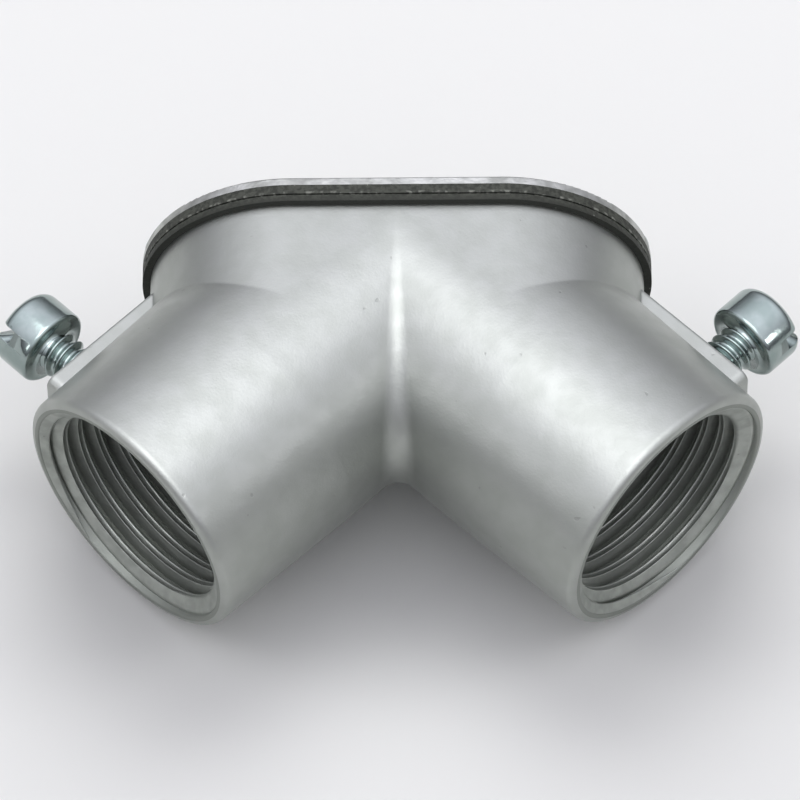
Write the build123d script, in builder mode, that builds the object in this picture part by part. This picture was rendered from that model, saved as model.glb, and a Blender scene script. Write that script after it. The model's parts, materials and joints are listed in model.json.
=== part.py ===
from build123d import *
from math import sqrt
import os

# A 90 degree pulling elbow for conduit, in millimetres, lying on its side.
# Both hub axes run level and meet behind the crotch. The left mouth faces -X and -Y,
# the right mouth +X and -Y, and the cover over the pull chamber faces +Y.

# Hubs
thread_r = 10.65  # major radius of the 1/2 inch trade size pipe thread
thread_length = 14.0
lead_in_flare = 0.55  # the smooth collar ahead of the thread widens by this
lead_in_depth = 1.7
hub_wall = 1.65  # round the thread, at the mouth
hub_draft = 0.4  # growth of the hub's radius from the mouth to the chamber
lip_round = 0.7  # outer edge of the mouth
stop_lip = 2.55  # how far the bushed throat stands inside the thread
stop_thick = 2.2
stop_round = 0.9

# Pull chamber
body_wall = 2.0
chamber_straight = 9.25  # half the straight stretch between its two round ends
seat_height = 0.4  # from the axes' crossing to the gasket's seat
crotch_round = 1.9
throat_setback = 1.0  # from the end of the crotch's rounding to the throat
barrel_start = 0.3  # from the chamber's end to where the barrel starts to taper

# Set screw pads, one on the outer side of each hub
pad_half_width = 3.05
pad_rise = 1.0  # above the hub's root radius
pad_end_setback = 3.6  # from the mouth's face
pad_end_round = 0.9
pad_root = 1.0  # how far the pad's inner end runs into the chamber

# Set screws
set_screw_setback = 7.65  # from the mouth's face
set_screw_r = 2.1
set_head_lip = 1.5  # the head's radius past the shank
set_head_height = 4.05
set_head_edge = 0.95
set_slot_width = 1.2
set_slot_depth = 1.7
set_standoff = 3.5  # bare thread between the head and the pad
set_bore_gap = 0.3  # the tip stays this far inside the wall
left_slot_turn = 46.0  # degrees from upright towards the mouth
right_slot_turn = 65.0

# Cover, gasket and their screws
cover_overhang = 0.7
plate_thick = 0.8
plate_edge = 0.2
gasket_thick = 1.7
gasket_groove = 0.18  # fine groove round the gasket's edge
gasket_groove_height = 0.6  # from the seat
gasket_land = 2.5  # width of the seat beside the opening
opening_setback = 4.7  # from a cover screw to the opening's round end
cover_screw_inset = 2.65  # from the chamber's end
cover_screw_r = 1.75
cover_head_lip = 1.45  # the head's radius past the shank
cover_head_height = 2.1
cover_head_edge = 0.7
cover_slot_width = 0.9
cover_slot_depth = 0.9
cover_screw_grip = 4.6  # shank below the seat
cover_boss_wall = 1.3  # round the screw hole and under it

# Clearances
running = 0.05  # between a screw and the hole that guides it
screw_hole_gap = 0.25  # between a cover screw and the plate
hole_bottom_gap = 0.5  # below a cover screw's tip

# Radii that follow from the thread
lead_in_r = thread_r + lead_in_flare
stop_r = thread_r - stop_lip
hub_mouth_r = thread_r + hub_wall
hub_root_r = hub_mouth_r + hub_draft  # also half the chamber's width
pad_face = hub_root_r + pad_rise
set_head_r = set_screw_r + set_head_lip
cover_head_r = cover_screw_r + cover_head_lip
cover_boss_r = cover_screw_r + running + cover_boss_wall

# Lengths along each hub, from the axes' crossing
slope = sqrt(0.5)
chamber_half_length = hub_root_r + chamber_straight
chamber_end = chamber_half_length / slope - hub_root_r
crotch_end = hub_root_r + crotch_round
hub_taper_start = max(chamber_end, crotch_end) + barrel_start
stop_end = crotch_end + throat_setback
thread_end = stop_end + stop_thick
mouth_distance = thread_end + thread_length + lead_in_depth
pad_start = chamber_half_length / slope - pad_face - pad_root
pad_end = mouth_distance - pad_end_setback
set_screw_place = mouth_distance - set_screw_setback

# Distances out from a hub's axis
set_screw_tip = thread_r + set_bore_gap
set_head_seat = pad_face + set_standoff

# Cover, from the middle of the chamber and from the axes' crossing
cover_half_length = chamber_half_length + cover_overhang
cover_half_width = hub_root_r + cover_overhang
cover_back = seat_height + gasket_thick + plate_thick
cover_screw_x = chamber_half_length - cover_screw_inset
opening_half_length = cover_screw_x - opening_setback
opening_half_width = hub_root_r - gasket_land
cover_hole_depth = cover_screw_grip + hole_bottom_gap

# The origin is under the middle of the box that holds the whole elbow
taper = (hub_root_r - hub_mouth_r) / (mouth_distance - hub_taper_start)
lip_centre_r = hub_mouth_r + taper * lip_round - lip_round * sqrt(1 + taper**2)
front_reach = (mouth_distance - lip_round + lip_centre_r) * slope + lip_round
back_reach = cover_back + cover_head_height
crossing = Vector(0, (front_reach - back_reach) / 2, cover_half_width)


def hub_plane(side, along=0.0):
    """Square to one hub's axis, x pointing away from the crotch; side is -1 left, 1 right."""
    axis = Vector(side * slope, -slope, 0)
    away = Vector(side * slope, slope, 0)
    return Plane(origin=crossing + axis * along, x_dir=away, z_dir=axis)


def hub_section(side):
    """Level plane through one hub's axis, x along the hub and y away from the crotch."""
    axis = Vector(side * slope, -slope, 0)
    return Plane(origin=crossing, x_dir=axis, z_dir=(0, 0, side))


def hub_axis(side):
    """The centre line of one hub."""
    return Axis(crossing, Vector(side * slope, -slope, 0))


def pad_plane(side, out):
    """Parallel to one pad's face, x along the hub towards its mouth; out is from the hub's axis."""
    axis = Vector(side * slope, -slope, 0)
    away = Vector(side * slope, slope, 0)
    return Plane(origin=crossing + away * out, x_dir=axis, z_dir=away)


def cover_plane(height):
    """Parallel to the cover and facing +Y; height is from the axes' crossing."""
    return Plane(origin=crossing + Vector(0, height, 0), x_dir=(1, 0, 0), z_dir=(0, 1, 0))


def saddle(radius, half_length, reach):
    """Both barrels of one radius, with the flat-sided chamber that rises from them to the seat."""
    with BuildPart() as left:
        with BuildSketch(hub_plane(-1, -radius)):
            Circle(radius)
            Rectangle(half_length, 2 * radius, align=(Align.MIN, Align.CENTER))
        extrude(amount=reach + radius)
        with BuildSketch(cover_plane(seat_height)):
            SlotOverall(2 * half_length, 2 * radius)
        extrude(amount=-2 * half_length, mode=Mode.INTERSECT)
        with BuildSketch(hub_plane(-1)):
            Circle(radius)
        extrude(amount=reach)
        split(bisect_by=cover_plane(seat_height), keep=Keep.BOTTOM)
        split(bisect_by=Plane.YZ, keep=Keep.BOTTOM)
    with BuildPart() as both:
        add(left.part)
        mirror(about=Plane.YZ)
    return both.part


# Outer skin of the casting
with BuildPart() as skin:
    add(saddle(hub_root_r, chamber_half_length, hub_taper_start))
    crotch = skin.edges().filter_by(lambda e: abs(e.center().X) < 0.01).sort_by(Axis.Y)[0]
    fillet(crotch, radius=crotch_round)
    for side in (-1, 1):
        with BuildSketch(hub_section(side)) as barrel:
            with BuildLine():
                Polyline(
                    (hub_taper_start, 0),
                    (hub_taper_start, hub_root_r),
                    (mouth_distance, hub_mouth_r),
                    (mouth_distance, 0),
                    close=True,
                )
            make_face()
            lip = barrel.vertices().sort_by_distance((mouth_distance, hub_mouth_r))[0]
            fillet(lip, radius=lip_round)
        revolve(axis=hub_axis(side))
        with BuildSketch(pad_plane(side, pad_face)) as pad:
            with Locations((pad_start, 0)):
                Rectangle(pad_end - pad_start, 2 * pad_half_width, align=(Align.MIN, Align.CENTER))
            fillet(pad.vertices().group_by(Axis.X)[-1], radius=pad_end_round)
        extrude(amount=-(pad_face - thread_r))

# Solid bosses for the cover screws, kept inside the skin
with BuildPart() as bosses:
    with BuildSketch(cover_plane(seat_height)):
        with Locations((-cover_screw_x, 0), (cover_screw_x, 0)):
            Circle(cover_boss_r)
    extrude(amount=-(cover_hole_depth + cover_boss_wall))
    add(skin.part, mode=Mode.INTERSECT)

# The casting: skin, hollowed, with its bosses, bores and screw holes
with BuildPart() as elbow_body:
    add(skin.part)
    add(saddle(hub_root_r - body_wall, chamber_half_length - body_wall, stop_end), mode=Mode.SUBTRACT)
    add(bosses.part)
    for side in (-1, 1):
        with BuildSketch(hub_section(side)) as bore:
            with BuildLine():
                Polyline(
                    (stop_end - stop_round, 0),
                    (stop_end - stop_round, hub_root_r - body_wall),
                    (stop_end, hub_root_r - body_wall),
                    (stop_end, stop_r),
                    (thread_end, stop_r),
                    (thread_end, thread_r),
                    (mouth_distance - lead_in_depth, thread_r),
                    (mouth_distance, lead_in_r),
                    (mouth_distance, 0),
                    close=True,
                )
            make_face()
            throat = bore.vertices().sort_by_distance((stop_end, stop_r))[0]
            fillet(throat, radius=stop_round)
        revolve(axis=hub_axis(side), mode=Mode.SUBTRACT)
        with BuildSketch(pad_plane(side, pad_face)):
            with Locations((set_screw_place, 0)):
                Circle(set_screw_r + running)
        extrude(amount=-(pad_face - stop_r), mode=Mode.SUBTRACT)
    with BuildSketch(cover_plane(seat_height)):
        with Locations((-cover_screw_x, 0), (cover_screw_x, 0)):
            Circle(cover_screw_r + running)
    extrude(amount=-cover_hole_depth, mode=Mode.SUBTRACT)

# Gasket between the seat and the cover
with BuildPart() as cover_gasket:
    with BuildSketch(cover_plane(seat_height)):
        SlotOverall(2 * cover_half_length, 2 * cover_half_width)
        SlotOverall(2 * opening_half_length, 2 * opening_half_width, mode=Mode.SUBTRACT)
        with Locations((-cover_screw_x, 0), (cover_screw_x, 0)):
            Circle(cover_screw_r + screw_hole_gap, mode=Mode.SUBTRACT)
    extrude(amount=gasket_thick)
    with BuildSketch(cover_plane(seat_height + gasket_groove_height)):
        SlotOverall(2 * cover_half_length, 2 * cover_half_width)
        SlotOverall(
            2 * (cover_half_length - gasket_groove),
            2 * (cover_half_width - gasket_groove),
            mode=Mode.SUBTRACT,
        )
    extrude(amount=gasket_groove, mode=Mode.SUBTRACT)

# Flat cover plate
with BuildPart() as cover_plate:
    with BuildSketch(cover_plane(cover_back - plate_thick)):
        SlotOverall(2 * cover_half_length, 2 * cover_half_width)
        with Locations((-cover_screw_x, 0), (cover_screw_x, 0)):
            Circle(cover_screw_r + screw_hole_gap, mode=Mode.SUBTRACT)
    extrude(amount=plate_thick)
    rim = cover_plate.faces().sort_by(Axis.Y)[-1].outer_wire().edges()
    fillet(rim, radius=plate_edge)

elbow_body.part.label = "elbow_body"
cover_gasket.part.label = "cover_gasket"
cover_plate.part.label = "cover_plate"

os.makedirs("parts", exist_ok=True)
export_step(elbow_body.part, "parts/elbow_body.step")
export_step(cover_gasket.part, "parts/cover_gasket.step")
export_step(cover_plate.part, "parts/cover_plate.step")

for side, name, slot_turn in ((-1, "left", left_slot_turn), (1, "right", right_slot_turn)):
    # Slotted pan head screw that holds one end of the cover
    with BuildPart() as cover_screw:
        with BuildSketch(cover_plane(cover_back)):
            with Locations((side * cover_screw_x, 0)):
                Circle(cover_head_r)
        extrude(amount=cover_head_height)
        fillet(cover_screw.edges().group_by(Axis.Y)[-1], radius=cover_head_edge)
        with BuildSketch(cover_plane(cover_back)):
            with Locations((side * cover_screw_x, 0)):
                Circle(cover_screw_r)
        extrude(amount=-(cover_back - seat_height + cover_screw_grip))
        with BuildSketch(cover_plane(cover_back + cover_head_height)):
            with Locations((side * cover_screw_x, 0)):
                Rectangle(cover_slot_width, 2 * cover_head_r)
        extrude(amount=-cover_slot_depth, mode=Mode.SUBTRACT)
    cover_screw.part.label = f"cover_screw_{name}"
    export_step(cover_screw.part, f"parts/cover_screw_{name}.step")

    # Slotted cheese head screw that grips the conduit through the pad
    with BuildPart() as set_screw:
        with BuildSketch(pad_plane(side, set_head_seat)):
            with Locations((set_screw_place, 0)):
                Circle(set_head_r)
        extrude(amount=set_head_height)
        top = set_screw.faces().sort_by(Axis(crossing, pad_plane(side, 0).z_dir))[-1]
        fillet(top.edges(), radius=set_head_edge)
        with BuildSketch(pad_plane(side, set_head_seat)):
            with Locations((set_screw_place, 0)):
                Circle(set_screw_r)
        extrude(amount=-(set_head_seat - set_screw_tip))
        with BuildSketch(pad_plane(side, set_head_seat + set_head_height)):
            with Locations(Location((set_screw_place, 0), side * slot_turn)):
                Rectangle(set_slot_width, 2 * set_head_r)
        extrude(amount=-set_slot_depth, mode=Mode.SUBTRACT)
    set_screw.part.label = f"set_screw_{name}"
    export_step(set_screw.part, f"parts/set_screw_{name}.step")
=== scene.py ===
"""Looks of a right-angle conduit pulling elbow, dressed around its packed construction.

Lengths are in metres in the construction's own frame: +Z is up, the cover faces +Y, and the
two mouths face -X -Y and +X -Y. Each sub-assembly is a class that builds its own pieces.
"""

import json
import logging
import math
from dataclasses import dataclass
from enum import Enum

import bmesh
import bpy
import numpy as np
from mathutils import Matrix, Vector


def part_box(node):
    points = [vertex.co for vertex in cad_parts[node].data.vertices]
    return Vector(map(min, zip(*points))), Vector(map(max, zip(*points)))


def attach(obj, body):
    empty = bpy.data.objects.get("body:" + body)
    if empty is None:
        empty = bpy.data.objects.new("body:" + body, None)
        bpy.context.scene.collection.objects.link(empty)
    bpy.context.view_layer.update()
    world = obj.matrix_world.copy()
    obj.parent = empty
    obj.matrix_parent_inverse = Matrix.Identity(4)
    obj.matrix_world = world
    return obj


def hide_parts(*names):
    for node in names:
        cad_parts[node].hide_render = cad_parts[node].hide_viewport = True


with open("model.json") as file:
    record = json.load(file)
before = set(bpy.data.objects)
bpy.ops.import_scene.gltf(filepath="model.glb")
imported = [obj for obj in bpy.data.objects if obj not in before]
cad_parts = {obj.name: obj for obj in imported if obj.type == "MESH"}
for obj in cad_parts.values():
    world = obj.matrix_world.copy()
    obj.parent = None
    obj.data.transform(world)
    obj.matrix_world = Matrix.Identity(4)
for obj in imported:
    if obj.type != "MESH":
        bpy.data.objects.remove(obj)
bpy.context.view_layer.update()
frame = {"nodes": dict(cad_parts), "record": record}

LOG = logging.getLogger("pulling_elbow")
MM = 0.001
FULL_TURN = 2.0 * math.pi
HALF_ROOT = math.sqrt(0.5)  # share of a hub's axis along X, and against Y
SEAT_HEIGHT = 0.4 * MM  # from the hub axes' crossing to the gasket's seat
SET_SCREW_ALONG = 25.85 * MM  # from the crossing to a set screw, along the hub


class Side(Enum):
    """The two hubs, seen from the mouths."""

    LEFT = -1
    RIGHT = 1

    @property
    def word(self) -> str:
        """The side's name as it stands in node and body names.

        Returns:
            The word left or right.
        """
        return self.name.lower()


class Finish(Enum):
    """The finishes, by the name of their material."""

    CAST = "cast_body"
    TAPPED = "cast_thread"
    COVER = "cover_metal"
    RUBBER = "gasket_rubber"
    PLATED = "plated_screw"


def axes_crossing() -> np.ndarray:
    """Where the hub axes meet: midway up the cover, just below the gasket's seat.

    Returns:
        The point, as three numbers.
    """
    plate_low, plate_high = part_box("cover_plate")
    gasket_low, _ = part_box("cover_gasket")
    middle = (plate_low + plate_high) / 2
    return np.array([middle.x, gasket_low.y - SEAT_HEIGHT, middle.z])


@dataclass(frozen=True)
class Axes:
    """A right-handed set of directions, with z along a turned piece's own axis."""

    origin: np.ndarray
    x: np.ndarray
    z: np.ndarray

    @property
    def y(self) -> np.ndarray:
        """The third direction, z cross x.

        Returns:
            The direction.
        """
        return np.cross(self.z, self.x)

    def place(self, local: np.ndarray) -> np.ndarray:
        """Carries points from these axes into the frame.

        Args:
            local: Points as rows of x, y and z.

        Returns:
            The same points in the frame, origin + x X + y Y + z Z.
        """
        return self.origin + local @ np.stack([self.x, self.y, self.z])


def hub_axes(side: Side, along: float = 0.0) -> Axes:
    """Axes of one hub: z out of its mouth and x away from the crotch.

    Args:
        side: Which hub.
        along: Distance of the origin from the crossing, along the hub.

    Returns:
        The axes.
    """
    out = np.array([side.value * HALF_ROOT, -HALF_ROOT, 0.0])
    away = np.array([side.value * HALF_ROOT, HALF_ROOT, 0.0])
    return Axes(axes_crossing() + out * along, away, out)


def grid_quads(rows: int, columns: int) -> np.ndarray:
    """Quads of a grid of points counted row by row, where each row closes on itself.

    Args:
        rows: Number of rows.
        columns: Number of points in each row.

    Returns:
        Four point numbers for each quad.
    """
    i, j = np.meshgrid(np.arange(rows - 1), np.arange(columns), indexing="ij")
    below, beside = i + 1, (j + 1) % columns
    corners = [i * columns + j, i * columns + beside, below * columns + beside, below * columns + j]
    return np.stack(corners, axis=-1).reshape(-1, 4)


def capped_tube(rings: np.ndarray) -> tuple[np.ndarray, list[list[int]]]:
    """Closes a tube of rings with a pole at the middle of each end ring.

    Args:
        rings: Points of the tube, as rows by columns by three.

    Returns:
        All points, with the two poles last, and the faces.
    """
    rows, columns, _ = rings.shape
    poles = np.stack([rings[0].mean(axis=0), rings[-1].mean(axis=0)])
    points = np.concatenate([rings.reshape(-1, 3), poles])
    step = np.arange(columns)
    following = (step + 1) % columns
    first_pole, last_pole = (np.full(columns, rows * columns + number) for number in (0, 1))
    first = np.stack([following, step, first_pole], axis=-1)
    last_ring = (rows - 1) * columns
    last = np.stack([last_ring + step, last_ring + following, last_pole], axis=-1)
    return points, grid_quads(rows, columns).tolist() + first.tolist() + last.tolist()


def new_piece(name: str, points: np.ndarray, faces: list[list[int]]) -> bpy.types.Object:
    """Makes a smooth closed mesh piece with its faces turned outwards.

    Args:
        name: Name of the piece.
        points: Its points in the frame.
        faces: Point numbers of each face.

    Returns:
        The new object, at the origin.
    """
    mesh = bpy.data.meshes.new(name)
    mesh.from_pydata(points.tolist(), [], faces)
    turned = bmesh.new()
    turned.from_mesh(mesh)
    bmesh.ops.recalc_face_normals(turned, faces=turned.faces)
    turned.to_mesh(mesh)
    turned.free()
    mesh.polygons.foreach_set("use_smooth", np.ones(len(mesh.polygons), dtype=bool))
    piece = bpy.data.objects.new(name, mesh)
    bpy.context.scene.collection.objects.link(piece)
    return piece


def box_mesh(name: str, axes: Axes, low: tuple[float, ...], high: tuple[float, ...]) -> bpy.types.Object:
    """Makes a plain box between two corners of a set of axes.

    Args:
        name: Name of the object.
        axes: The axes that the corners are given in.
        low: Lowest corner.
        high: Highest corner.

    Returns:
        The box.
    """
    picks = np.stack(np.meshgrid([0, 1], [0, 1], [0, 1], indexing="ij"), axis=-1).reshape(-1, 3)
    corners = np.where(picks == 1, np.array(high), np.array(low))
    faces = [[0, 1, 3, 2], [4, 6, 7, 5], [0, 4, 5, 1], [2, 3, 7, 6], [0, 2, 6, 4], [1, 5, 7, 3]]
    return new_piece(name, axes.place(corners), faces)


def rod_mesh(
    name: str, axes: Axes, radius: float, low: float, high: float, columns: int = 48
) -> bpy.types.Object:
    """Makes a plain round rod along the z of a set of axes.

    Args:
        name: Name of the object.
        axes: The axes that the rod is given in.
        radius: The rod's radius.
        low: Where it starts along z.
        high: Where it ends.
        columns: Number of points round it.

    Returns:
        The rod.
    """
    turn = np.arange(columns) * FULL_TURN / columns
    level, height = np.meshgrid(turn, np.array([low, high]))
    rings = np.stack([radius * np.cos(level), radius * np.sin(level), height], axis=-1)
    points, faces = capped_tube(axes.place(rings.reshape(-1, 3)).reshape(rings.shape))
    return new_piece(name, points, faces)


def cut_away(piece: bpy.types.Object, cutter: bpy.types.Object) -> None:
    """Cuts one closed mesh out of another and deletes the cutter.

    Args:
        piece: The mesh that is cut.
        cutter: The mesh that is taken away from it.
    """
    cut = piece.modifiers.new("cut", "BOOLEAN")
    cut.operation = "DIFFERENCE"
    cut.solver = "EXACT"
    cut.object = cutter
    graph = bpy.context.evaluated_depsgraph_get()
    whole = bpy.data.meshes.new_from_object(piece.evaluated_get(graph))
    piece.modifiers.clear()
    spent = piece.data
    piece.data = whole
    bpy.data.meshes.remove(spent)
    bpy.data.objects.remove(cutter)


class Nodes:
    """Short-hand for building one node tree."""

    def __init__(self, tree: bpy.types.NodeTree) -> None:
        """Keeps the tree that new nodes go into.

        Args:
            tree: That tree.
        """
        self.tree = tree

    def add(self, kind: str, **settings: object) -> bpy.types.Node:
        """Adds a node.

        Args:
            kind: The node's type without its common prefix.
            **settings: Properties of the node.

        Returns:
            The node.
        """
        node = self.tree.nodes.new(f"ShaderNode{kind}")
        for key, value in settings.items():
            setattr(node, key, value)
        return node

    def link(self, source: bpy.types.NodeSocket, target: bpy.types.NodeSocket) -> None:
        """Joins two sockets.

        Args:
            source: Where the value comes from.
            target: Where it goes.
        """
        self.tree.links.new(source, target)

    def math(self, operation: str, first: object, second: object = 0.0) -> bpy.types.NodeSocket:
        """Adds a calculation or comparison of two values.

        Args:
            operation: What is done with them, such as MULTIPLY.
            first: A socket or a number.
            second: A socket or a number.

        Returns:
            The result's socket.
        """
        node = self.add("Math", operation=operation)
        for socket, value in zip(node.inputs, (first, second)):
            if isinstance(value, bpy.types.NodeSocket):
                self.link(value, socket)
            else:
                socket.default_value = value
        return node.outputs[0]

    def noise(
        self, place: bpy.types.NodeSocket, scale: object, detail: float
    ) -> bpy.types.NodeSocket:
        """Adds a noise pattern from 0 to 1.

        Args:
            place: Socket with the coordinates.
            scale: Bumps in a metre, a socket or a number.
            detail: Number of finer layers.

        Returns:
            The pattern's socket.
        """
        node = self.add("TexNoise")
        node.inputs["Detail"].default_value = detail
        self.link(place, node.inputs["Vector"])
        if isinstance(scale, bpy.types.NodeSocket):
            self.link(scale, node.inputs["Scale"])
        else:
            node.inputs["Scale"].default_value = scale
        return node.outputs["Fac"]

    def ramp(self, value: bpy.types.NodeSocket, low: float, high: float) -> bpy.types.NodeSocket:
        """Adds a smooth step from 0 at low to 1 at high.

        Args:
            value: The socket that is stepped.
            low: Where the step starts.
            high: Where it ends.

        Returns:
            The step's socket.
        """
        node = self.add("MapRange", interpolation_type="SMOOTHSTEP")
        node.inputs["From Min"].default_value = low
        node.inputs["From Max"].default_value = high
        self.link(value, node.inputs["Value"])
        return node.outputs["Result"]

    def mix(self, share: object, first: object, second: object) -> bpy.types.NodeSocket:
        """Mixes two colours.

        Args:
            share: A socket or a number, where 1 is all of the second colour.
            first: A socket or an RGB triple.
            second: A socket or an RGB triple.

        Returns:
            The mixed colour's socket.
        """
        node = self.add("Mix", data_type="RGBA")
        for socket, value in ((node.inputs[0], share), (node.inputs[6], first), (node.inputs[7], second)):
            if isinstance(value, bpy.types.NodeSocket):
                self.link(value, socket)
            elif isinstance(value, tuple):
                socket.default_value = (*value, 1.0)
            else:
                socket.default_value = value
        return node.outputs[2]


@dataclass(frozen=True)
class SurfaceGrain:
    """The shared grain of a metal or rubber skin: fine roughness, soft waves and small pits."""

    name: str = "surface_grain"
    wave_share: float = 2.0  # height of the waves against the fine grains
    pit_step: tuple[float, float] = (0.84, 0.90)  # part of the noise where a pit starts and is full

    def group(self) -> bpy.types.NodeTree:
        """Builds the group once.

        The height is fine noise + share * coarse noise - pit, where a pit is a step of a
        third noise near its top. The tone is the coarse noise, for colour and roughness.

        Returns:
            The node group.
        """
        found = bpy.data.node_groups.get(self.name)
        if found:
            return found
        tree = bpy.data.node_groups.new(self.name, "ShaderNodeTree")
        for socket in ("Grains", "Waves", "Pits"):
            tree.interface.new_socket(socket, in_out="INPUT", socket_type="NodeSocketFloat")
        for socket in ("Height", "Tone", "Pit"):
            tree.interface.new_socket(socket, in_out="OUTPUT", socket_type="NodeSocketFloat")
        nodes = Nodes(tree)
        given = tree.nodes.new("NodeGroupInput")
        out = tree.nodes.new("NodeGroupOutput")
        place = nodes.add("TexCoord").outputs["Object"]
        fine = nodes.noise(place, given.outputs["Grains"], 3.0)
        coarse = nodes.noise(place, given.outputs["Waves"], 2.0)
        pit = nodes.ramp(nodes.noise(place, given.outputs["Pits"], 0.0), *self.pit_step)
        height = nodes.math("ADD", fine, nodes.math("MULTIPLY", coarse, self.wave_share))
        height = nodes.math("SUBTRACT", height, pit)
        nodes.link(height, out.inputs["Height"])
        nodes.link(coarse, out.inputs["Tone"])
        nodes.link(pit, out.inputs["Pit"])
        return tree


@dataclass(frozen=True)
class InsideHub:
    """Mask that is 1 on the machined wall inside the hubs and 0 on the rest of the casting; there the
    casting gets a darker colour as painted shade, and more roughness.
    """

    name: str = "inside_hub"
    radius: float = 11.6  # mm, between the bore's widest place and the outside of the hub
    start: float = 16.0  # mm along the hub from the axes' crossing
    per_metre: float = 1000.0  # millimetres in a metre

    def group(self) -> bpy.types.NodeTree:
        """Builds the group once.

        From the crossing, x is taken without its sign, so that both hubs share one axis.
        The place along it is s = (x - y) / root of 2, and the squared distance from it is
        x^2 + y^2 + z^2 - s^2. All lengths are in millimetres.

        Returns:
            The node group.
        """
        found = bpy.data.node_groups.get(self.name)
        if found:
            return found
        tree = bpy.data.node_groups.new(self.name, "ShaderNodeTree")
        tree.interface.new_socket("Mask", in_out="OUTPUT", socket_type="NodeSocketFloat")
        nodes = Nodes(tree)
        out = tree.nodes.new("NodeGroupOutput")
        split = nodes.add("SeparateXYZ")
        nodes.link(nodes.add("TexCoord").outputs["Object"], split.inputs[0])
        off = []
        for letter, middle in zip("XYZ", axes_crossing()):
            shifted = nodes.math("SUBTRACT", split.outputs[letter], float(middle))
            off.append(nodes.math("MULTIPLY", shifted, self.per_metre))
        x = nodes.math("ABSOLUTE", off[0])
        along = nodes.math("MULTIPLY", nodes.math("SUBTRACT", x, off[1]), HALF_ROOT)
        squares = [nodes.math("MULTIPLY", value, value) for value in (x, off[1], off[2])]
        total = nodes.math("ADD", nodes.math("ADD", squares[0], squares[1]), squares[2])
        square = nodes.math("SUBTRACT", total, nodes.math("MULTIPLY", along, along))
        near = nodes.math("LESS_THAN", square, self.radius**2)
        far = nodes.math("GREATER_THAN", along, self.start)
        nodes.link(nodes.math("MULTIPLY", near, far), out.inputs["Mask"])
        return tree


@dataclass(frozen=True)
class MetalFinish:
    """A metal skin with grain."""

    finish: Finish
    light: tuple[float, float, float]
    dark: tuple[float, float, float]
    smooth: float  # lowest roughness
    rough: float  # highest roughness
    grains: float  # fine grains in a metre
    waves: float
    pits: float
    depth: float  # height of the grain
    edge: float = 0.0  # how far sharp edges look rounded
    bore: tuple[float, float, float] | None = None  # painted shade: darker colour inside the hubs
    bore_rough: float = 0.16  # how much rougher it is there
    pit_tone: float = 0.85  # brightness of the painted shade in a pit against the dark colour
    tone_span: tuple[float, float] = (0.3, 0.7)  # part of the slow noise that the colours use

    def material(self) -> bpy.types.Material:
        """Builds the finish.

        Returns:
            The material.
        """
        made = bpy.data.materials.new(self.finish.value)
        made.use_nodes = True
        nodes = Nodes(made.node_tree)
        shader = made.node_tree.nodes["Principled BSDF"]
        grain = nodes.add("Group", node_tree=SurfaceGrain().group())
        for socket, value in (("Grains", self.grains), ("Waves", self.waves), ("Pits", self.pits)):
            grain.inputs[socket].default_value = value
        tone = nodes.ramp(grain.outputs["Tone"], *self.tone_span)
        colour = nodes.mix(tone, self.dark, self.light)
        # painted shade: each pit is coloured darker than the dark colour
        pit_shade = tuple(self.pit_tone * channel for channel in self.dark)
        colour = nodes.mix(grain.outputs["Pit"], colour, pit_shade)
        spread = nodes.add("MapRange")
        spread.inputs["To Min"].default_value = self.rough
        spread.inputs["To Max"].default_value = self.smooth
        nodes.link(tone, spread.inputs["Value"])
        roughness = spread.outputs["Result"]
        if self.bore:
            # painted shade: the wall inside the hubs takes the darker colour; the added roughness there
            # is real
            mask = nodes.add("Group", node_tree=InsideHub().group()).outputs["Mask"]
            colour = nodes.mix(mask, colour, self.bore)
            rougher = nodes.math("MULTIPLY", mask, self.bore_rough)
            roughness = nodes.math("ADD", roughness, rougher)
        bump = nodes.add("Bump")
        bump.inputs["Distance"].default_value = self.depth
        bump.inputs["Strength"].default_value = 1.0
        nodes.link(grain.outputs["Height"], bump.inputs["Height"])
        if self.edge:
            rounded = nodes.add("Bevel", samples=6)
            rounded.inputs["Radius"].default_value = self.edge
            nodes.link(rounded.outputs["Normal"], bump.inputs["Normal"])
        nodes.link(colour, shader.inputs["Base Color"])
        nodes.link(roughness, shader.inputs["Roughness"])
        nodes.link(bump.outputs["Normal"], shader.inputs["Normal"])
        shader.inputs["Metallic"].default_value = 1.0
        return made


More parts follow.
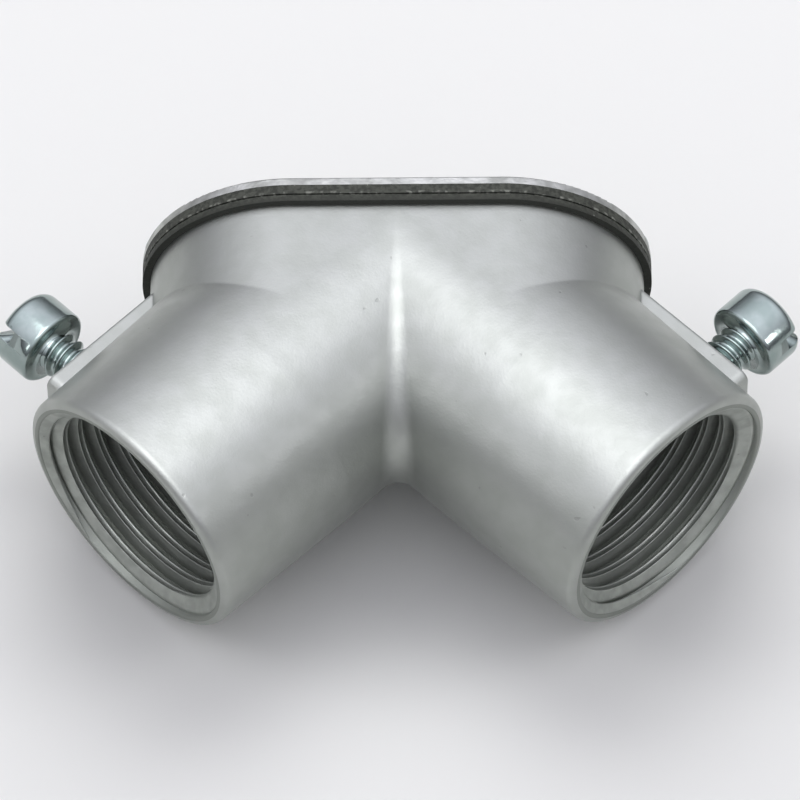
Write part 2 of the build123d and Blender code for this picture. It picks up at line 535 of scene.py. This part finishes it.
@dataclass(frozen=True)
class RubberFinish:
    """Dark rubber sheet with pale specks, a torn, dotted line along the middle of its edge, and painted
    shade that darkens the edge towards the seat.
    """

    base: tuple[float, float, float] = (0.014, 0.016, 0.011)
    worn: tuple[float, float, float] = (0.048, 0.052, 0.041)
    speck: tuple[float, float, float] = (0.22, 0.23, 0.20)
    line_height: float = 0.82 * MM  # of the dotted line above the seat
    line_width: float = 0.26 * MM
    mark_strength: float = 0.8
    depth: float = 0.05 * MM  # height of the grain
    roughness: float = 0.72

    def material(self) -> bpy.types.Material:
        """Builds the rubber.

        Returns:
            The material.
        """
        made = bpy.data.materials.new(Finish.RUBBER.value)
        made.use_nodes = True
        nodes = Nodes(made.node_tree)
        shader = made.node_tree.nodes["Principled BSDF"]
        grain = nodes.add("Group", node_tree=SurfaceGrain().group())
        for socket, value in (("Grains", 5200.0), ("Waves", 900.0), ("Pits", 2600.0)):
            grain.inputs[socket].default_value = value
        place = nodes.add("TexCoord").outputs["Object"]
        split = nodes.add("SeparateXYZ")
        nodes.link(place, split.inputs[0])
        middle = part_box("cover_gasket")[0].y + self.line_height
        off = nodes.math("ABSOLUTE", nodes.math("SUBTRACT", split.outputs["Y"], middle))
        line = nodes.math("SUBTRACT", 1.0, nodes.ramp(off, 0.3 * self.line_width, self.line_width))
        dots = nodes.ramp(nodes.noise(place, 1900.0, 1.0), 0.50, 0.68)
        marks = nodes.math("MAXIMUM", nodes.math("MULTIPLY", line, dots), grain.outputs["Pit"])
        # painted shade: the edge stays plain dark base at the seat and takes the worn mottle only up
        # towards the dotted line
        seat_shade_fade = nodes.ramp(split.outputs["Y"], middle - 1.2 * self.line_height, middle)
        mottle = nodes.ramp(nodes.noise(place, 2600.0, 3.0), 0.35, 0.65)
        colour = nodes.mix(nodes.math("MULTIPLY", mottle, seat_shade_fade), self.base, self.worn)
        colour = nodes.mix(nodes.math("MULTIPLY", marks, self.mark_strength), colour, self.speck)
        bump = nodes.add("Bump")
        bump.inputs["Distance"].default_value = self.depth
        nodes.link(grain.outputs["Height"], bump.inputs["Height"])
        nodes.link(colour, shader.inputs["Base Color"])
        nodes.link(bump.outputs["Normal"], shader.inputs["Normal"])
        shader.inputs["Roughness"].default_value = self.roughness
        return made


def finishes() -> dict[Finish, bpy.types.Material]:
    """Builds every finish of the elbow.

    Returns:
        The material of each finish.
    """
    cast = MetalFinish(
        finish=Finish.CAST,
        light=(0.392, 0.409, 0.386),
        dark=(0.368, 0.386, 0.360),
        smooth=0.41,
        rough=0.46,
        grains=4200.0,
        waves=420.0,
        pits=1500.0,
        depth=0.012 * MM,
        edge=0.35 * MM,
        bore=(0.270, 0.288, 0.262),
    )
    tapped = MetalFinish(
        finish=Finish.TAPPED,
        light=(0.400, 0.420, 0.390),
        dark=(0.330, 0.350, 0.320),
        smooth=0.46,
        rough=0.58,
        grains=6500.0,
        waves=700.0,
        pits=2400.0,
        depth=0.007 * MM,
    )
    cover = MetalFinish(
        finish=Finish.COVER,
        light=(0.50, 0.51, 0.49),
        dark=(0.32, 0.33, 0.31),
        smooth=0.38,
        rough=0.5,
        grains=4200.0,
        waves=700.0,
        pits=1800.0,
        depth=0.05 * MM,
    )
    plated = MetalFinish(
        finish=Finish.PLATED,
        light=(0.33, 0.385, 0.375),
        dark=(0.27, 0.330, 0.315),
        smooth=0.12,
        rough=0.19,
        grains=3000.0,
        waves=600.0,
        pits=1200.0,
        depth=0.006 * MM,
    )
    return {
        Finish.CAST: cast.material(),
        Finish.TAPPED: tapped.material(),
        Finish.COVER: cover.material(),
        Finish.RUBBER: RubberFinish().material(),
        Finish.PLATED: plated.material(),
    }


def dress(piece: bpy.types.Object, material: bpy.types.Material) -> None:
    """Gives a piece its one finish, in every slot that it has.

    Args:
        piece: The piece.
        material: Its finish.
    """
    if not piece.data.materials:
        piece.data.materials.append(material)
    for place in piece.material_slots:
        place.material = material


@dataclass
class Casting:
    """The cast body, with the helical threads of its hubs."""

    material: bpy.types.Material
    tapped: bpy.types.Material
    pitch: float = 25.4 * MM / 14  # fourteen threads an inch
    ridge_width: float = 1.58 * MM
    crest_r: float = 9.72 * MM
    crest_flat: float = 0.60 * MM
    crest_round: float = 0.05 * MM
    burr: float = 0.06 * MM  # height of the bead along both edges of the crest
    burr_width: float = 0.07 * MM
    sunk: float = 0.25 * MM  # how far the ridge's foot stands in the wall
    stop_gap: float = 0.9 * MM  # from the bore's bottom to the first ridge's middle
    collar_depth: float = 1.7 * MM
    collar_flare: float = 0.55 * MM
    mouth_gap: float = 0.06 * MM  # the ridge stays this far inside the mouth's face
    mouth_reach: float = 0.4 * MM  # how far past the mouth the ridge's middle would end
    trim_slope: float = 1.5  # of the cone that trims the crests at the mouth, radius to length
    phases: tuple[float, float] = (0.83 * MM, 1.54 * MM)  # place of a ridge at no turn
    steps: int = 1152  # sections along the whole thread
    run_out: float = 0.16  # turns over which each end of the thread fades
    end_height: float = 0.01  # share of the run-out where the ridge starts and ends
    end_width: float = 0.3  # width of the section there, against the full width
    dip_share: float = 0.6  # of the sunk foot, how far a trimmed ridge dips into the wall
    screw_hole_r: float = 2.3 * MM

    def ridge_profile(self, root_r: float) -> tuple[np.ndarray, np.ndarray]:
        """Section of the ridge, a tooth with straight flanks and a flat crest with raised edges.

        At x from the middle a flank alone would stand (half width - |x|) times the slope
        high. The height is the smooth lower one of that and the crest's height:
        (flank + crest - root of ((flank - crest) squared + round squared)) / 2. A bell curve
        of the burr's height and width stands on each edge of the crest.

        Args:
            root_r: Radius of the bore's wall.

        Returns:
            Places across the ridge, and heights above the wall.
        """
        half, flat = self.ridge_width / 2, self.crest_flat / 2
        crest = root_r - self.crest_r
        corner = np.linspace(-2.0, 1.5, 11) * self.burr_width + flat
        right = np.concatenate([[0.0], corner, np.linspace(corner[-1], half, 5)[1:]])
        x = np.concatenate([-right[:0:-1], right])
        flank = (half - np.abs(x)) * crest / (half - flat)
        high = (flank + crest - np.sqrt((flank - crest) ** 2 + self.crest_round**2)) / 2
        edge = (np.abs(x) - flat + 0.5 * self.burr_width) / self.burr_width
        return x, high + self.burr * np.exp(-(edge**2))

    def thread(self, side: Side) -> bpy.types.Object:
        """Makes the thread of one hub, a right-handed ridge on the bore's wall.

        The section is carried along a helix: at a turn the ridge's middle is its phase +
        turns times the pitch along the hub. It shrinks to nothing over the run-out at both
        ends. A cone from the mouth's edge inwards trims the crests. Where it is wider than
        the collar's wall, root + flare * share of the collar's depth, the ridge dips into
        the wall by up to the dip's share of the sunk foot. The set screw's hole is cut out.

        Args:
            side: Which hub.

        Returns:
            The thread.
        """
        mount = next(m for m in frame["record"]["mounts"] if m["name"] == f"hub_{side.word}")
        root_r = mount["dims"]["r_mm"] * MM
        length = mount["dims"]["length_mm"] * MM
        middle = float(np.linalg.norm(np.array(mount["pos_m"]) - axes_crossing()))
        phase = dict(zip(Side, self.phases))[side]
        collar = middle + length / 2
        low = middle - length / 2 + self.stop_gap
        mouth = collar + self.collar_depth
        high = mouth + self.mouth_reach
        turns = np.linspace((low - phase) / self.pitch, (high - phase) / self.pitch, self.steps)
        angle = FULL_TURN * turns
        centre = phase + self.pitch * turns
        nearest_end = np.minimum(turns - turns[0], turns[-1] - turns) / self.run_out
        grown = np.clip(nearest_end, self.end_height, 1.0)
        grown = grown * grown * (3.0 - 2.0 * grown)
        x, tall = self.ridge_profile(root_r)
        widened = self.end_width + (1.0 - self.end_width) * grown[:, None]
        along = centre[:, None] + widened * np.concatenate([x, x[-1:], x[:1]])
        wall = root_r + self.collar_flare * np.clip((along - collar) / self.collar_depth, 0.0, 1.0)
        cone = root_r + self.collar_flare + self.trim_slope * (along - mouth + self.mouth_gap)
        tall = np.concatenate([tall, [0.0, 0.0]])
        over = np.maximum(root_r - grown[:, None] * tall, cone) - wall
        dip = self.dip_share * self.sunk
        radius = wall + np.where(over > 0.0, dip * (1.0 - np.exp(-over / dip)), over)
        radius[:, -2:] = wall[:, -2:] + self.sunk
        along = np.minimum(along, mouth - self.mouth_gap)
        level, upright = np.cos(angle)[:, None], np.sin(angle)[:, None]
        local = np.stack([radius * level, radius * upright, along], axis=-1)
        axes = hub_axes(side)
        points, faces = capped_tube(axes.place(local.reshape(-1, 3)).reshape(local.shape))
        thread = new_piece(f"hub_thread_{side.word}", points, faces)
        hole = hub_axes(side, SET_SCREW_ALONG)
        drill = Axes(hole.origin, hole.z, hole.x)
        cut_away(thread, rod_mesh("drill", drill, self.screw_hole_r, 0.5 * root_r, 1.5 * root_r))
        return thread

    def build(self) -> None:
        """Dresses the casting and adds both threads."""
        dress(frame["nodes"]["elbow_body"], self.material)
        for side in Side:
            thread = self.thread(side)
            dress(thread, self.tapped)
            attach(thread, "casting")
            LOG.info("%s: %d faces", thread.name, len(thread.data.polygons))


@dataclass
class SlottedScrew:
    """A turned screw with a slotted head and a helical thread on its shank."""

    name: str
    node: str
    body: str
    axes: Axes  # z from the tip to the head, with the origin under the head
    shank_r: float
    shank_length: float
    root_r: float
    pitch: float
    head_r: float
    head_height: float
    head_edge: float
    head_rim: float
    slot_width: float
    slot_depth: float
    slot_turn: float
    neck: float = 0.45 * MM  # plain stretch under the head
    tip_taper: float = 0.5 * MM
    tip_share: float = 0.8  # radius at the very tip against the thread's root
    tooth_power: float = 1.4  # how much sharper than a plain wave the thread is
    face_pole: float = 0.08  # radius of the face's inmost ring against its outmost
    columns: int = 160
    rows_a_pitch: int = 18

    def head_profile(self) -> np.ndarray:
        """Outline of the head from the shank to near its middle.

        The underside's rim has a small round, and the outer edge is a quarter circle.

        Returns:
            Rows of radius and height.
        """
        small = self.head_rim
        quarter = np.linspace(0.0, math.pi / 2, 9)
        low_r = self.head_r - small * (1.0 - np.sin(quarter))
        low = np.stack([low_r, small * (1.0 - np.cos(quarter))], axis=-1)
        edge = self.head_edge
        top_r = self.head_r - edge + edge * np.cos(quarter)
        top = np.stack([top_r, self.head_height - edge + edge * np.sin(quarter)], axis=-1)
        inner = np.linspace(1.0, self.face_pole, 7)[1:, None]
        level = np.full_like(inner, self.head_height)
        face = np.concatenate([inner * (self.head_r - edge), level], axis=1)
        return np.concatenate([low, top, face])

    def shank_rings(self, turn: np.ndarray) -> np.ndarray:
        """Rings of the threaded shank, from the tip to the head.

        The radius is root + (crest - root) * tooth, where the tooth is a raised cosine of
        the phase height / pitch - turn, sharpened by a power. It fades into the neck and
        into the tapered tip.

        Args:
            turn: Angles round the axis.

        Returns:
            Points as rows by columns by three.
        """
        rows = int(self.shank_length / self.pitch * self.rows_a_pitch)
        height = np.linspace(-self.shank_length, 0.0, rows)
        phase = FULL_TURN * height[:, None] / self.pitch - turn[None, :]
        tooth = (0.5 + 0.5 * np.cos(phase)) ** self.tooth_power
        fade = np.clip(-height / self.neck, 0.0, 1.0) ** 0.5
        taper = np.clip((height + self.shank_length) / self.tip_taper, 0.0, 1.0)
        radius = self.root_r * (self.tip_share + (1.0 - self.tip_share) * taper[:, None])
        radius = radius + (self.shank_r - self.root_r) * tooth * fade[:, None] * taper[:, None]
        upright = np.broadcast_to(height[:, None], radius.shape)
        return np.stack([radius * np.cos(turn), radius * np.sin(turn), upright], axis=-1)

    def build(self, material: bpy.types.Material) -> bpy.types.Object:
        """Makes the screw in place of its plain node.

        Args:
            material: Its finish.

        Returns:
            The screw.
        """
        turn = np.arange(self.columns) * FULL_TURN / self.columns
        outline = self.head_profile()
        radius, height = outline[:, :1], outline[:, 1:]
        upright = np.broadcast_to(height, (len(outline), self.columns))
        head = np.stack([radius * np.cos(turn), radius * np.sin(turn), upright], axis=-1)
        rings = np.concatenate([self.shank_rings(turn), head])
        points, faces = capped_tube(self.axes.place(rings.reshape(-1, 3)).reshape(rings.shape))
        screw = new_piece(self.name, points, faces)
        across = self.axes.x * math.cos(self.slot_turn) + self.axes.y * math.sin(self.slot_turn)
        slot_axes = Axes(self.axes.origin, across, self.axes.z)
        half, reach = self.slot_width / 2, self.head_r * 1.5
        floor, above = self.head_height - self.slot_depth, self.head_height * 1.5
        cut_away(screw, box_mesh("slot", slot_axes, (-half, -reach, floor), (half, reach, above)))
        dress(screw, material)
        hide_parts(self.node)
        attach(screw, self.body)
        LOG.info("%s: %d faces", screw.name, len(screw.data.polygons))
        return screw


@dataclass
class SetScrews:
    """The slotted screws through the pads, one on each hub."""

    material: bpy.types.Material
    head_seat: float = 17.2 * MM  # underside of the head, from the hub's axis
    tip: float = 10.95 * MM  # end of the shank, from the hub's axis
    slot_turns: tuple[float, float] = (math.radians(-51.0), math.radians(73.0))

    def build(self) -> None:
        """Makes both screws."""
        for side, slot_turn in zip(Side, self.slot_turns):
            hub = hub_axes(side, SET_SCREW_ALONG)
            axes = Axes(hub.origin + hub.x * self.head_seat, hub.z, hub.x)
            SlottedScrew(
                name=f"set_screw_{side.word}_threaded",
                node=f"set_screw_{side.word}",
                body=f"{side.word}_set_screw",
                axes=axes,
                shank_r=2.1 * MM,
                shank_length=self.head_seat - self.tip,
                root_r=1.62 * MM,
                pitch=1.06 * MM,
                head_r=3.6 * MM,
                head_height=4.05 * MM,
                head_edge=0.95 * MM,
                head_rim=0.42 * MM,
                slot_width=1.3 * MM,
                slot_depth=1.7 * MM,
                slot_turn=slot_turn,
            ).build(self.material)


@dataclass
class Cover:
    """The cover plate, its gasket and the two screws that hold them."""

    metal: bpy.types.Material
    rubber: bpy.types.Material
    plated: bpy.types.Material
    screw_x: float = 19.3 * MM  # of each screw from the middle of the cover

    def screw(self, side: Side) -> None:
        """Makes one cover screw, with its head on the plate.

        Args:
            side: Which end of the cover.
        """
        plate_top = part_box("cover_plate")[1].y
        middle = axes_crossing()
        origin = np.array([side.value * self.screw_x, plate_top, middle[2]])
        SlottedScrew(
            name=f"cover_screw_{side.word}_threaded",
            node=f"cover_screw_{side.word}",
            body=f"{side.word}_cover_screw",
            axes=Axes(origin, np.array([1.0, 0.0, 0.0]), np.array([0.0, 1.0, 0.0])),
            shank_r=1.75 * MM,
            shank_length=7.1 * MM,
            root_r=1.35 * MM,
            pitch=0.79 * MM,
            head_r=3.2 * MM,
            head_height=2.1 * MM,
            head_edge=0.7 * MM,
            head_rim=0.12 * MM,
            slot_width=0.9 * MM,
            slot_depth=0.9 * MM,
            slot_turn=0.0,
        ).build(self.plated)

    def build(self) -> None:
        """Dresses the plate and the gasket, and makes the screws."""
        dress(frame["nodes"]["cover_plate"], self.metal)
        dress(frame["nodes"]["cover_gasket"], self.rubber)
        for side in Side:
            self.screw(side)


@dataclass(frozen=True)
class Softbox:
    """A flat studio lamp."""

    name: str
    place: tuple[float, float, float]
    size: tuple[float, float]
    power: float
    on_matt: bool = True  # whether it lights matt surfaces
    in_gloss: bool = True  # whether it shows in reflections

    def build(self, target: Vector) -> None:
        """Hangs the lamp and turns it to a point.

        Args:
            target: The point that it faces.
        """
        lamp = bpy.data.lights.new(self.name, "AREA")
        lamp.shape = "RECTANGLE"
        lamp.size, lamp.size_y = self.size
        lamp.energy = self.power
        hung = bpy.data.objects.new(self.name, lamp)
        hung.location = self.place
        hung.rotation_euler = (target - Vector(self.place)).to_track_quat("-Z", "Y").to_euler()
        hung.visible_diffuse = self.on_matt
        hung.visible_glossy = self.in_gloss
        bpy.context.scene.collection.objects.link(hung)


@dataclass(frozen=True)
class Camera:
    """The photograph's viewpoint, found from the outlines of both mouths and the cover."""

    elevation: float = math.radians(56.593)
    azimuth: float = math.radians(0.511)
    roll: float = math.radians(-0.868)
    distance: float = 0.738  # from the axes' crossing
    focal_pixels: float = 8296.6
    frame_pixels: float = 800.0
    crossing_column: float = 397.170  # where the crossing shows in the frame
    crossing_row: float = 289.602
    sensor: float = 36.0

    def build(self) -> None:
        """Sets up the scene's camera."""
        up_share, level_share = math.sin(self.elevation), math.cos(self.elevation)
        aside_share, front_share = math.sin(self.azimuth), math.cos(self.azimuth)
        back = Vector((aside_share * level_share, -front_share * level_share, up_share))
        level = Vector((math.cos(self.azimuth), math.sin(self.azimuth), 0.0))
        seat_shade_fade = back.cross(level)
        right = level * math.cos(self.roll) + seat_shade_fade * math.sin(self.roll)
        up = seat_shade_fade * math.cos(self.roll) - level * math.sin(self.roll)
        middle = self.frame_pixels / 2
        aside = (self.crossing_column - middle) * self.distance / self.focal_pixels
        above = (middle - self.crossing_row) * self.distance / self.focal_pixels
        place = Vector(axes_crossing()) + back * self.distance - right * aside - up * above
        data = bpy.data.cameras.new("camera")
        data.sensor_width = self.sensor
        data.lens = self.focal_pixels / self.frame_pixels * self.sensor
        data.clip_start, data.clip_end = 0.05, 20.0
        camera = bpy.data.objects.new("camera", data)
        turned = Matrix((right, up, back)).transposed().to_4x4()
        camera.matrix_world = Matrix.Translation(place) @ turned
        bpy.context.scene.collection.objects.link(camera)
        bpy.context.scene.camera = camera


@dataclass(frozen=True)
class Studio:
    """Pale floor, softboxes and a world that is weaker towards the horizon.

    Bare metal mirrors the pale floor and would look too light beside it. So the overhead
    softbox and the strips show in gloss alone, the others light matt surfaces alone, and
    matt surfaces get only a share of the world's light.
    """

    floor_radius: float = 3.0
    floor_corners: int = 64
    floor_colour: tuple[float, float, float] = (0.88, 0.885, 0.862)
    sky: tuple[tuple[float, float], ...] = (
        (0.0, 0.12),
        (0.37, 0.62),
        (0.60, 1.08),
        (0.84, 1.55),
        (1.0, 1.80),
    )  # rise of a direction above the level, and the world's strength there
    sky_colour: tuple[float, float, float] = (1.0, 0.99, 1.08)
    matt_share: float = 0.43  # how much of the world's light reaches matt surfaces
    softboxes: tuple[Softbox, ...] = (
        Softbox("overhead_softbox", (-0.04, -0.07, 0.50), (0.46, 0.40), 1.08, on_matt=False),
        Softbox("left_strip", (-0.43, -0.156, 0.195), (0.07, 0.12), 0.11, on_matt=False),
        Softbox("right_strip", (0.43, -0.156, 0.195), (0.07, 0.12), 0.11, on_matt=False),
        Softbox("rear_softbox", (0.0, 0.30, 0.48), (0.40, 0.30), 1.25, in_gloss=False),
        Softbox("left_softbox", (-0.42, 0.0, 0.36), (0.24, 0.24), 0.35, in_gloss=False),
        Softbox("right_softbox", (0.42, 0.0, 0.36), (0.24, 0.24), 0.35, in_gloss=False),
    )

    def floor(self) -> None:
        """Lays a round floor under the elbow."""
        turn = np.arange(self.floor_corners) * FULL_TURN / self.floor_corners
        rim = np.stack([np.cos(turn), np.sin(turn), np.zeros_like(turn)], axis=-1)
        mesh = bpy.data.meshes.new("floor")
        mesh.from_pydata((rim * self.floor_radius).tolist(), [], [list(range(self.floor_corners))])
        floor = bpy.data.objects.new("floor", mesh)
        bpy.context.scene.collection.objects.link(floor)
        pale = bpy.data.materials.new("floor_pale")
        pale.use_nodes = True
        shader = pale.node_tree.nodes["Principled BSDF"]
        shader.inputs["Base Color"].default_value = (*self.floor_colour, 1.0)
        shader.inputs["Roughness"].default_value = 0.9
        shader.inputs["Specular IOR Level"].default_value = 0.0
        dress(floor, pale)

    def world(self) -> None:
        """Sets the even light that comes from all round, stronger from higher up."""
        world = bpy.data.worlds.new("studio")
        world.use_nodes = True
        nodes = Nodes(world.node_tree)
        sky = world.node_tree.nodes["Background"]
        split = nodes.add("SeparateXYZ")
        nodes.link(nodes.add("TexCoord").outputs["Generated"], split.inputs[0])
        fade = nodes.add("FloatCurve")
        curve = fade.mapping.curves[0]
        top = max(strength for _, strength in self.sky)
        for number, (seat_shade_fade, strength) in enumerate(self.sky):
            if number in (0, len(self.sky) - 1):
                curve.points[0 if number == 0 else -1].location = (seat_shade_fade, strength / top)
            else:
                curve.points.new(seat_shade_fade, strength / top)
        fade.mapping.update()
        nodes.link(split.outputs["Z"], fade.inputs["Value"])
        strength = nodes.math("MULTIPLY", fade.outputs[0], top)
        path = nodes.add("LightPath")
        matt = nodes.math("MULTIPLY", path.outputs["Is Diffuse Ray"], 1.0 - self.matt_share)
        shared = nodes.math("MULTIPLY", strength, nodes.math("SUBTRACT", 1.0, matt))
        nodes.link(shared, sky.inputs["Strength"])
        sky.inputs["Color"].default_value = (*self.sky_colour, 1.0)
        bpy.context.scene.world = world

    def build(self) -> None:
        """Builds the floor, the world, the lamps and the camera."""
        self.floor()
        self.world()
        for softbox in self.softboxes:
            softbox.build(Vector(axes_crossing()))
        Camera().build()
        bpy.context.scene.view_settings.view_transform = "Standard"


def main() -> None:
    """Builds the looks of the elbow in order."""
    logging.basicConfig(level=logging.INFO, format="%(name)s: %(message)s")
    made = finishes()
    Casting(made[Finish.CAST], made[Finish.TAPPED]).build()
    LOG.info("casting dressed, with both hub threads")
    SetScrews(made[Finish.PLATED]).build()
    LOG.info("set screws made")
    Cover(made[Finish.COVER], made[Finish.RUBBER], made[Finish.PLATED]).build()
    LOG.info("cover, gasket and cover screws made")
    Studio().build()
    LOG.info("studio and camera set")


if __name__ == "__main__":
    main()
